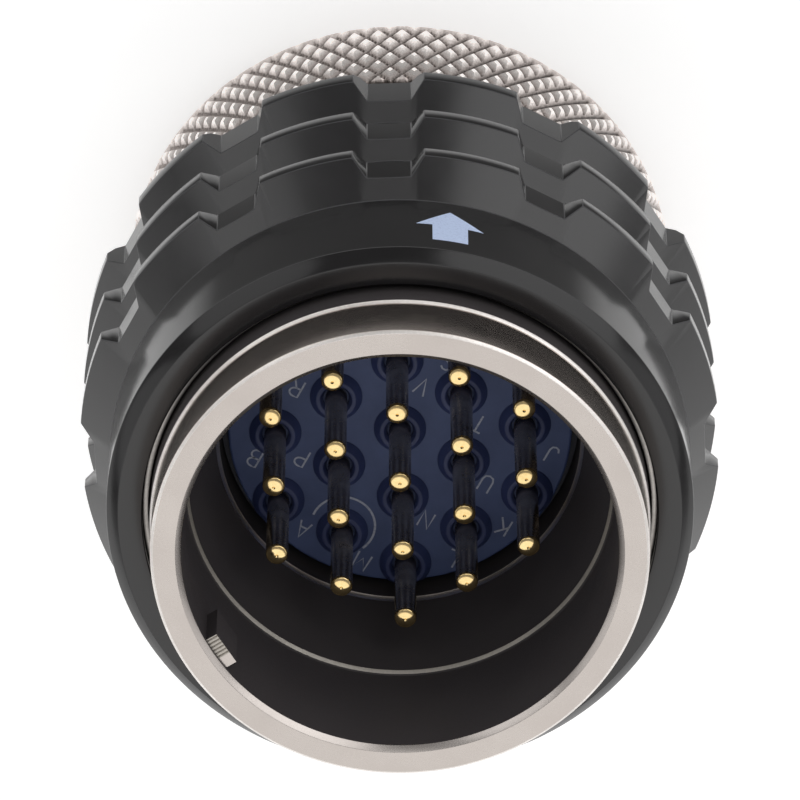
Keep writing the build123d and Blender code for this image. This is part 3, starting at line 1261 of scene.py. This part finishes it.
@dataclass
class ContactPins:
    """Nineteen turned gold contacts."""

    palette: Palette
    segments: int = 48
    axis_radius: float = 0.004
    crown_radius: float = 0.98
    crown_share: float = 0.84
    pip_radius: float = 0.075
    pip_depth: float = 0.06
    crown_steps: int = 8
    edge_height: float = 0.13
    tip_band: float = 0.04
    shank_radius: float = 0.7
    tail_radius: float = 0.6
    tail_end: float = 7.7

    def outline(self) -> list[Corner]:
        """Give the outline of one contact.

        Returns:
            Corners from the tip down to the tail.
        """
        reach = self.crown_share * PIN_RADIUS
        stride = (reach - self.pip_radius) / self.crown_steps
        crown = [
            Corner(spot, PIN_TIP - self.crown_radius + math.sqrt(self.crown_radius ** 2 - spot ** 2))
            for spot in (self.pip_radius + stride * step for step in range(self.crown_steps + 1))
        ]
        start = math.asin(reach / self.crown_radius)
        stretch = (math.pi / 2 - start) / self.crown_steps
        turns = [start + stretch * step for step in range(1, self.crown_steps + 1)]
        width = (PIN_RADIUS - reach) / (1 - math.sin(start))
        rim = crown[-1].height
        edge = [
            Corner(
                reach + width * (math.sin(turn) - math.sin(start)),
                rim - self.edge_height * (math.cos(start) - math.cos(turn)) / math.cos(start),
            ) for turn in turns
        ]
        return rounded_outline([
            Corner(self.axis_radius, PIN_TIP - self.pip_depth),
            *crown,
            *edge,
            Corner(PIN_RADIUS, rim - self.edge_height - self.tip_band, 0.0, PinFinish.SHANK),
            Corner(PIN_RADIUS, INSULATOR_JOINT),
            Corner(self.shank_radius, INSULATOR_JOINT, 0.08),
            Corner(self.shank_radius, INSULATOR_REAR, 0.08),
            Corner(self.tail_radius, INSULATOR_REAR),
            Corner(self.tail_radius, self.tail_end, 0.1),
            Corner(self.axis_radius, self.tail_end),
        ], steps=8)

    def build(self) -> None:
        """Make every contact and put it in place."""
        finishes = [self.palette.gold.build(), self.palette.gold_shank.build()]
        for letter, (x, y) in contact_places().items():
            mesh_data = turned(self.outline(), self.segments)
            bmesh.ops.translate(mesh_data, verts=mesh_data.verts, vec=(x, y, 0))
            pin = as_object(f"pin_{letter}", mesh_data, finishes)
            smooth(pin)
            hold(pin, Body.SHELL, Slot.GOLD, f"contact_pin_{letter}")


@dataclass(frozen=True)
class Mark:
    """One printed letter on the face seal."""

    letter: str
    x: float
    y: float


@dataclass
class FacePrint:
    """Contact letters and the arc that marks the first contact."""

    palette: Palette
    height: float = 0.86
    letter_middle: Point = (0.3, 0.5)
    stroke: float = 0.085
    arc_stroke: float = 0.102
    shift: float = -0.28
    tilt_deg: float = -30.0
    lift: float = 0.012
    arc_radius: float = 1.48
    arc_offset: Point = (-0.05, -0.29)
    arc_start_deg: float = 335.0
    arc_stop_deg: float = 126.0
    arc_steps: int = 60
    marks: tuple[Mark, ...] = (
        Mark("A", 4.94, 5.08), Mark("B", 7.03, 1.28), Mark("P", 4.87, 1.35), Mark("R", 4.95, -2.24),
        Mark("V", -0.81, -2.09), Mark("T", -3.35, -0.10), Mark("U", -3.57, 3.00), Mark("J", -6.61, 1.61),
        Mark("N", -0.75, 4.77), Mark("K", -4.29, 5.26), Mark("L", -1.84, 6.79), Mark("M", 2.24, 6.85),
        Mark("C", 7.10, -2.00), Mark("D", 4.75, -5.55), Mark("E", 1.95, -6.95), Mark("F", -1.75, -6.90),
        Mark("G", -4.55, -5.35), Mark("H", -6.95, -1.70), Mark("S", -2.05, -3.30),
    )

    @staticmethod
    def bend(middle: Point, reach: Point, turns_deg: Iterable[int]) -> list[Point]:
        """Give the points of one bent stroke.

        Args:
            middle: Centre of its ellipse.
            reach: Half width and half height of the ellipse.
            turns_deg: Angles of the points, from the right upwards.

        Returns:
            Points (x, y) in order.
        """
        return [
            (middle[0] + reach[0] * math.cos(turn), middle[1] + reach[1] * math.sin(turn))
            for turn in map(math.radians, turns_deg)
        ]

    def strokes(self, letter: str) -> list[list[Point]]:
        """Give the strokes of a letter in a box one unit high.

        Args:
            letter: Capital letter.

        Returns:
            Open lines of (x, y) points.
        """
        upper = self.bend((0.25, 0.75), (0.3, 0.25), range(90, -91, -20))
        lower = self.bend((0.25, 0.25), (0.3, 0.25), range(90, -91, -20))
        round_whole = self.bend((0.33, 0.5), (0.33, 0.5), range(40, 321, 20))
        belly = self.bend((0.2, 0.5), (0.42, 0.5), range(90, -91, -15))
        head, waist, stem = [(0.25, 1), (0, 1), (0, 0)], [(0, 0.5), (0.25, 0.5)], [(0, 0), (0, 1)]
        shapes = {
            "A": [[(0, 0), (0.32, 1), (0.64, 0)], [(0.12, 0.36), (0.52, 0.36)]],
            "B": [head + [(0.25, 0)], upper, lower, waist],
            "C": [round_whole],
            "D": [[(0.2, 1), (0, 1), (0, 0), (0.2, 0)], belly],
            "E": [[(0.55, 1), (0, 1), (0, 0), (0.55, 0)], [(0, 0.5), (0.45, 0.5)]],
            "F": [[(0.55, 1), (0, 1), (0, 0)], [(0, 0.5), (0.45, 0.5)]],
            "G": [round_whole + [(0.62, 0.45), (0.36, 0.45)]],
            "H": [stem, [(0.6, 0), (0.6, 1)], [(0, 0.5), (0.6, 0.5)]],
            "J": [[(0.5, 1), (0.5, 0.25), (0.42, 0.06), (0.25, 0), (0.08, 0.06), (0, 0.25)]],
            "K": [stem, [(0.58, 1), (0, 0.42)], [(0.2, 0.62), (0.6, 0)]],
            "L": [[(0, 1), (0, 0), (0.52, 0)]],
            "M": [[(0, 0), (0.04, 1), (0.38, 0.3), (0.72, 1), (0.76, 0)]],
            "N": [[(0, 0), (0, 1), (0.6, 0), (0.6, 1)]],
            "P": [head, upper, waist],
            "R": [head, upper, waist, [(0.28, 0.5), (0.6, 0)]],
            "S": [[
                (0.55, 0.85), (0.4, 0.98), (0.2, 0.98), (0.05, 0.82), (0.1, 0.62), (0.3, 0.52), (0.5, 0.4),
                (0.57, 0.2), (0.42, 0.02), (0.2, 0.02), (0.02, 0.16),
            ]],
            "T": [[(0, 1), (0.62, 1)], [(0.31, 1), (0.31, 0)]],
            "U": [[(0, 1), (0, 0.3), (0.08, 0.08), (0.3, 0), (0.52, 0.08), (0.6, 0.3), (0.6, 1)]],
            "V": [[(0, 1), (0.31, 0), (0.62, 1)]],
        }
        return shapes[letter]

    def lay_line(self, mesh_data: BMesh, points: Sequence[Vector], width: float) -> None:
        """Lay one printed line as a thin closed strip on the seal.

        Args:
            mesh_data: Mesh that receives the strip.
            points: Points of the line.
            width: Width of the line.
        """
        sides = []
        final = len(points) - 1
        for index, point in enumerate(points):
            before, after = points[max(index - 1, 0)], points[min(index + 1, final)]
            along = (after - before).normalized()
            sides.append((point, Vector((-along.y, along.x)) * (width / 2)))
        low, high = SEAL_FACE - self.lift, SEAL_FACE + self.lift
        rings = []
        for point, side in sides:
            corners = (point + side, point - side)
            rings.append([
                mesh_data.verts.new((*corner, height)) for height in (low, high) for corner in corners
            ])
        for first, second in zip(rings, rings[1:]):
            for here, there in ((0, 1), (1, 3), (3, 2), (2, 0)):
                mesh_data.faces.new((first[here], first[there], second[there], second[here]))
        for end in (rings[0], rings[-1]):
            mesh_data.faces.new((end[0], end[1], end[3], end[2]))

    def build(self) -> None:
        """Make the letters and the arc and put them in place."""
        ink = self.palette.letter_ink.build()
        turn = Matrix.Rotation(math.radians(self.tilt_deg), 2)
        middle = Vector(self.letter_middle)
        mesh_data = bmesh.new()
        for mark in self.marks:
            place = Vector((mark.x + self.shift, mark.y))
            for stroke in self.strokes(mark.letter):
                points = [place + turn @ ((Vector(point) - middle) * self.height) for point in stroke]
                self.lay_line(mesh_data, points, self.stroke)
        letters = as_object("contact_letters", mesh_data, [ink])
        hold(letters, Body.SHELL, Slot.SEAL)
        mesh_data = bmesh.new()
        centre = Vector(contact_places()["a"]) + Vector(self.arc_offset)
        step = (self.arc_stop_deg - self.arc_start_deg) / self.arc_steps
        points = []
        for index in range(self.arc_steps + 1):
            angle = math.radians(self.arc_start_deg + step * index)
            points.append(centre + self.arc_radius * Vector((math.cos(angle), math.sin(angle))))
        self.lay_line(mesh_data, points, self.arc_stroke)
        arc = as_object("first_contact_arc", mesh_data, [ink])
        hold(arc, Body.SHELL, Slot.SEAL)


class NutFinish(IntEnum):
    """Material slots of the clamp nut."""

    KNURL = 0
    PLAIN = 1


@dataclass
class ClampNut:
    """Diamond-knurled nut with a plain rear collar and the cable entry."""

    palette: Palette
    half_columns: int = 144
    half_rows: int = 7
    fine: int = 4
    depth: float = 0.34
    flat_share: float = 0.3
    end_drop: float = 0.12
    end_slope: float = 0.6
    collar_chamfer: float = 0.5
    plain_depth: float = 0.56
    sharp_deg: float = 12.0

    def height_share(self, column: float, row: float) -> float:
        """Give the height of the knurl over its grooves.

        Args:
            column: Place round the nut, in half columns.
            row: Place along the nut, in half rows.

        Returns:
            Share of the full depth, 1 on the flats of the crests.
        """
        across, along = column % 2, row % 2
        to_corner = min(across, 2 - across) + min(along, 2 - along)
        near = min(to_corner, abs(across - 1) + abs(along - 1))
        return min(1.0, (1 - near) / (1 - self.flat_share))

    def corner(self, column: int, row: int) -> Vector:
        """Give one corner of the knurl.

        Args:
            column: Column of the fine grid.
            row: Row of the fine grid, from the rear.

        Returns:
            The corner's place.
        """
        last = self.half_rows * self.fine
        share = self.height_share(column / self.fine, row / self.fine)
        share = max(min(share, self.end_slope * (last - row)), 1 - self.end_slope * row)
        radius = NUT_CREST_RADIUS - self.depth * (1 - share)
        if row in (0, last):
            radius -= self.end_drop
        angle = FULL_TURN * column / (self.half_columns * self.fine)
        return polar(radius, angle, NUT_COLLAR_TOP + (KNURL_TOP - NUT_COLLAR_TOP) * row / last)

    def build(self) -> None:
        """Make the nut and put it in place."""
        mesh_data = bmesh.new()
        columns, rows = self.half_columns * self.fine, self.half_rows * self.fine
        grid = [
            [mesh_data.verts.new(self.corner(column, row)) for column in range(columns)]
            for row in range(rows + 1)
        ]
        for row in range(rows):
            for column in range(columns):
                after = (column + 1) % columns
                a, b = grid[row][column], grid[row][after]
                c, d = grid[row + 1][after], grid[row + 1][column]
                here = self.height_share(column / self.fine, row / self.fine)
                opposite = self.height_share((column + 1) / self.fine, (row + 1) / self.fine)
                level = math.isclose(here, opposite, abs_tol=1e-6)
                for half in ((a, b, c), (a, c, d)) if level else ((a, b, d), (b, c, d)):
                    mesh_data.faces.new(half)
        top = self.ring_loop(mesh_data, grid[-1], [
            (NUT_BORE_RADIUS, KNURL_TOP), (NUT_BORE_RADIUS, NUT_END_WALL),
        ])
        chamfer = self.collar_chamfer
        bottom = self.ring_loop(mesh_data, grid[0], [
            (NUT_COLLAR_RADIUS, NUT_COLLAR_TOP), (NUT_COLLAR_RADIUS, chamfer),
            (NUT_COLLAR_RADIUS - chamfer, 0.0), (CABLE_ENTRY_RADIUS + chamfer, 0.0),
            (CABLE_ENTRY_RADIUS, chamfer), (CABLE_ENTRY_RADIUS, NUT_END_WALL),
        ])
        for column in range(columns):
            after = (column + 1) % columns
            mesh_data.faces.new((top[column], top[after], bottom[after], bottom[column]))
        materials = [self.palette.knurl.build(), self.palette.nickel.build()]
        nut = as_object("knurled_nut", mesh_data, materials)
        for face in nut.data.polygons:
            if math.hypot(face.center.x, face.center.y) < (NUT_CREST_RADIUS - self.plain_depth) * MM:
                face.material_index = NutFinish.PLAIN
        smooth(nut, self.sharp_deg)
        hold(nut, Body.CLAMP, Slot.NICKEL, "clamp_nut")

    def ring_loop(self, mesh_data: BMesh, start: Loop, path: Sequence[Point]) -> Loop:
        """Carry a loop of corners along a path of radii and heights.

        Args:
            mesh_data: Mesh that receives the faces.
            start: Loop that the path begins at.
            path: Radii and heights in order.

        Returns:
            The last loop.
        """
        loop, columns = start, len(start)
        for radius, height in path:
            fresh = [
                mesh_data.verts.new(polar(radius, FULL_TURN * column / columns, height))
                for column in range(columns)
            ]
            for column in range(columns):
                after = (column + 1) % columns
                mesh_data.faces.new((loop[column], loop[after], fresh[after], fresh[column]))
            loop = fresh
        return loop


@dataclass
class CarriedNodes:
    """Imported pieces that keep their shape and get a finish."""

    palette: Palette

    def build(self) -> None:
        """Give every carried piece its material."""
        palette = self.palette
        nodes_by_finish = (
            (palette.black, ("ring_end_collar",)),
            (palette.spring, ("spring_seat", "snap_ring")),
            (palette.insulator, ("front_insulator", "rear_insulator")),
            (palette.sleeve, ("insert_retainer", "gland_washer", "thrust_washer")),
            (palette.seal, ("wire_grommet",)),
            (palette.rubber, ("gland_seal",)),
        )
        for finish, nodes in nodes_by_finish:
            material = finish.build()
            for node in nodes:
                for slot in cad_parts[node].material_slots:
                    slot.material = material


@dataclass(frozen=True)
class Lamp:
    """One soft area lamp aimed at the part, with its place and size in metres."""

    name: str
    place: tuple[float, float, float]
    size: float
    power: float
    colour: Colour = (1.0, 1.0, 1.0)

    def build(self, target: Vector) -> None:
        """Hang the lamp.

        Args:
            target: Point that it is aimed at, in metres.
        """
        data = bpy.data.lights.new(self.name, "AREA")
        data.shape = "DISK"
        data.size = self.size
        data.energy = self.power
        data.color = self.colour
        lamp = bpy.data.objects.new(self.name, data)
        lamp.location = self.place
        lamp.rotation_mode = "QUATERNION"
        lamp.rotation_quaternion = (target - lamp.location).to_track_quat("-Z", "Y")
        bpy.context.collection.objects.link(lamp)


@dataclass
class Studio:
    """Floor, lamps, world and camera."""

    view_down_deg: float = 26.56
    turn_deg: float = -2.06
    camera_back: float = 165.15
    camera_up: float = 345.88
    lens_mm: float = 360.0
    sensor_mm: float = 36.0
    clip: Span = (0.01, 20.0)
    floor_half: float = 1.5
    floor_colour: Colour = (0.88, 0.88, 0.88)
    floor_grain: float = 0.6
    floor_grain_tone: float = 0.985
    floor_roughness: float = 0.9
    floor_lift: float = 0.44
    # Painted shadow and painted glint on the floor, seen only by glossy rays
    shade_start: Span = (0.0185, 0.0220)
    shade_stop: Span = (0.032, 0.040)
    shade_side: Span = (-0.0135, -0.009)
    shade_colour: Colour = (0.42, 0.42, 0.42)
    glint: Span = (0.54, 0.02)
    world_strength: float = 0.28
    # Painted reflection: a brighter sky band near the horizon, seen only by glossy rays
    painted_horizon_glow: float = 1.0
    painted_horizon_height: Span = (0.10, 0.42)
    painted_horizon_side: Span = (0.36, 0.62)
    lamps: tuple[Lamp, ...] = (
        Lamp("key", (0.05, 0.42, 0.82), 1.5, 5.3, (1.0, 0.99, 0.975)),
        Lamp("front", (-0.62, -0.66, 0.36), 1.0, 3.6),
        Lamp("front_left", (0.64, -0.68, 0.34), 0.7, 1.15),
        Lamp("front_top", (0.0, -0.62, 0.72), 0.5, 0.40),
        Lamp("left", (0.95, 0.05, 0.40), 0.7, 0.9),
        Lamp("right", (-0.95, 0.05, 0.40), 0.7, 0.9),
    )

    def floor(self) -> None:
        """Lay the pale floor, with a painted shadow and a painted glint that only reflections see."""
        mesh_data = bmesh.new()
        bmesh.ops.create_grid(mesh_data, x_segments=2, y_segments=2, size=self.floor_half)
        mesh = bpy.data.meshes.new("studio_floor")
        mesh_data.to_mesh(mesh)
        mesh_data.free()
        graph = Surface("studio_paper")
        shader = graph.shader
        grain = graph.noise(self.floor_grain)
        path = graph.node("ShaderNodeLightPath")
        seen = graph.math("MAXIMUM", path.outputs["Is Camera Ray"], path.outputs["Is Transmission Ray"])
        x, y, _ = graph.parts(graph.place)
        # Painted shadow: in a ring round the part on its -Y side, glossy rays see the floor darkened towards
        # shade_colour
        apart = graph.length(x, y)
        begun, ended = graph.span(apart, self.shade_start), graph.span(apart, self.shade_stop, FALL)
        shade = graph.times(begun, ended, graph.span(y, self.shade_side, FALL))
        glossy = path.outputs["Is Glossy Ray"]
        # Painted glint: glossy rays see the floor glow brighter than the camera does outside the painted
        # shadow, and almost not at all inside it
        painted_glint_glow = graph.times(glossy, graph.span(shade, FULL, self.glint))
        shaded = graph.times(glossy, shade)
        lift = graph.math("MAXIMUM", graph.times(seen, self.floor_lift), painted_glint_glow)
        graph.feed(shader.inputs["Emission Color"], (1.0, 1.0, 1.0))
        graph.feed(shader.inputs["Emission Strength"], lift)
        dim = tuple(self.floor_grain_tone * value for value in self.floor_colour)
        # The floor colour as glossy rays see it has the painted shadow mixed in
        paper_and_painted_shadow = graph.mix(shaded, graph.mix(grain, dim, self.floor_colour), self.shade_colour)
        mesh.materials.append(graph.finish(paper_and_painted_shadow, self.floor_roughness, Specular_IOR_Level=0.0))
        floor = bpy.data.objects.new("studio_floor", mesh)
        bpy.context.collection.objects.link(floor)

    def world(self) -> None:
        """Set the soft sky, with a painted reflection: a bright band near the horizon on the +Y side that
        only glossy rays see.
        """
        world = bpy.data.worlds.new("studio_sky")
        bpy.context.scene.world = world
        world.use_nodes = True
        graph = Graph(world.node_tree)
        _, y, z = graph.parts(graph.node("ShaderNodeTexCoord").outputs["Generated"])
        # Painted reflection: glossy rays see the sky near the horizon on the +Y side brighter
        low = graph.span(graph.math("ABSOLUTE", z), self.painted_horizon_height, FALL)
        behind = graph.span(y, self.painted_horizon_side)
        glossy = graph.node("ShaderNodeLightPath").outputs["Is Glossy Ray"]
        lift = graph.times(low, behind, glossy, self.painted_horizon_glow - self.world_strength)
        sky = world.node_tree.nodes["Background"]
        graph.feed(sky.inputs["Color"], (1.0, 1.0, 1.0))
        graph.feed(sky.inputs["Strength"], graph.math("ADD", lift, self.world_strength))

    def camera(self) -> None:
        """Set the long lens at the photograph's angle."""
        slope = math.radians(self.view_down_deg)
        turn = Matrix.Rotation(math.radians(self.turn_deg), 3, "Z")
        forward = turn @ Vector((0, math.sin(slope), -math.cos(slope)))
        up = turn @ Vector((0, -math.cos(slope), -math.sin(slope)))
        right = forward.cross(up)
        data = bpy.data.cameras.new("camera")
        data.lens = self.lens_mm
        data.sensor_width = self.sensor_mm
        data.clip_start, data.clip_end = self.clip
        camera = bpy.data.objects.new("camera", data)
        camera.location = turn @ Vector((0, -self.camera_back, self.camera_up)) * MM
        camera.rotation_mode = "QUATERNION"
        camera.rotation_quaternion = Matrix((right, up, -forward)).transposed().to_quaternion()
        bpy.context.collection.objects.link(camera)
        bpy.context.scene.camera = camera

    def build(self) -> None:
        """Set up the whole studio."""
        self.floor()
        self.world()
        self.camera()
        for lamp in self.lamps:
            lamp.build(Vector(LAMP_TARGET))
        bpy.context.scene.view_settings.view_transform = "Standard"


def main() -> None:
    """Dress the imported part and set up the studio."""
    logging.basicConfig(level=logging.INFO)
    palette = Palette()
    assemblies = (
        FrontShell, CouplingRing, ReleaseArrow, GuideSleeve, CoilSpring,
        FaceSeal, ContactPins, FacePrint, ClampNut, CarriedNodes,
    )
    for assembly in assemblies:
        assembly(palette).build()
    Studio().build()


if __name__ == "__main__":
    main()
